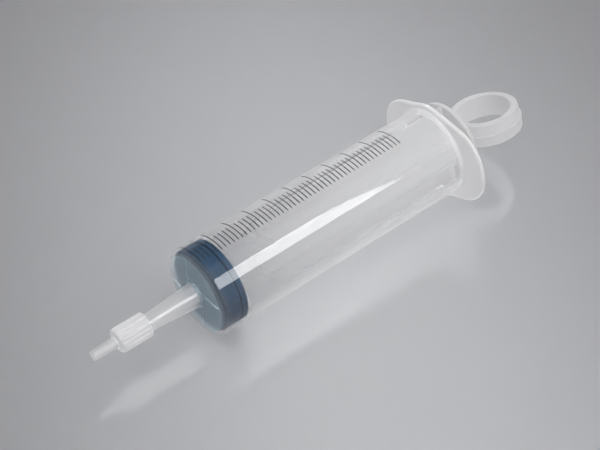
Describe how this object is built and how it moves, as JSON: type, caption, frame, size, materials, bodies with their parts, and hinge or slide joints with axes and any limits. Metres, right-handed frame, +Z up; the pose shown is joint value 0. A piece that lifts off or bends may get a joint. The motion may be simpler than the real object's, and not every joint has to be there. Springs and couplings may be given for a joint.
{
  "type": "hand syringe",
  "caption": "Hand-operated catheter-tip syringe: clear barrel with oval finger flange and line scale, rubber stopper, thumb-ring plunger and push-on tapered tip adapter.",
  "frame": {"origin": "under the middle of the syringe's length, on its centre plane, level with the lowest point of the finger flange", "axes": "+X along the syringe from the tip to the thumb ring, +Y level across the barrel, 13 degrees from the flange's long axis, +Z up"},
  "size_m": [0.216, 0.0602, 0.0433],
  "materials": {
    "barrel_plastic": "hazy clear polypropylene, smooth",
    "plunger_plastic": "translucent white polypropylene, satin",
    "adapter_plastic": "milky polyethylene, smooth",
    "stopper_rubber": "dark blue moulded rubber",
    "scale_ink": "black printed ink"
  },
  "bodies": {
    "barrel": {"barrel_tube": "barrel_plastic", "finger_flange": "barrel_plastic", "catheter_nozzle": "barrel_plastic", "graduation_scale": "scale_ink"},
    "stopper": {"stopper": "stopper_rubber"},
    "plunger": {"plunger_rod": "plunger_plastic", "thumb_ring": "plunger_plastic"},
    "adapter": {"luer_adapter": "adapter_plastic"}
  },
  "joints": [
    {"name": "plunger_slide", "type": "slide", "parent": "barrel", "child": "stopper", "axis": [1, 0, 0], "range_m": [0, 0.107]},
    {"name": "plunger_turn", "type": "hinge", "parent": "stopper", "child": "plunger", "pos_m": [0, 0, 0.02165], "axis": [1, 0, 0], "continuous": true},
    {"name": "adapter_pull", "type": "slide", "parent": "barrel", "child": "adapter", "axis": [-1, 0, 0], "range_m": [0, 0.02]}
  ]
}
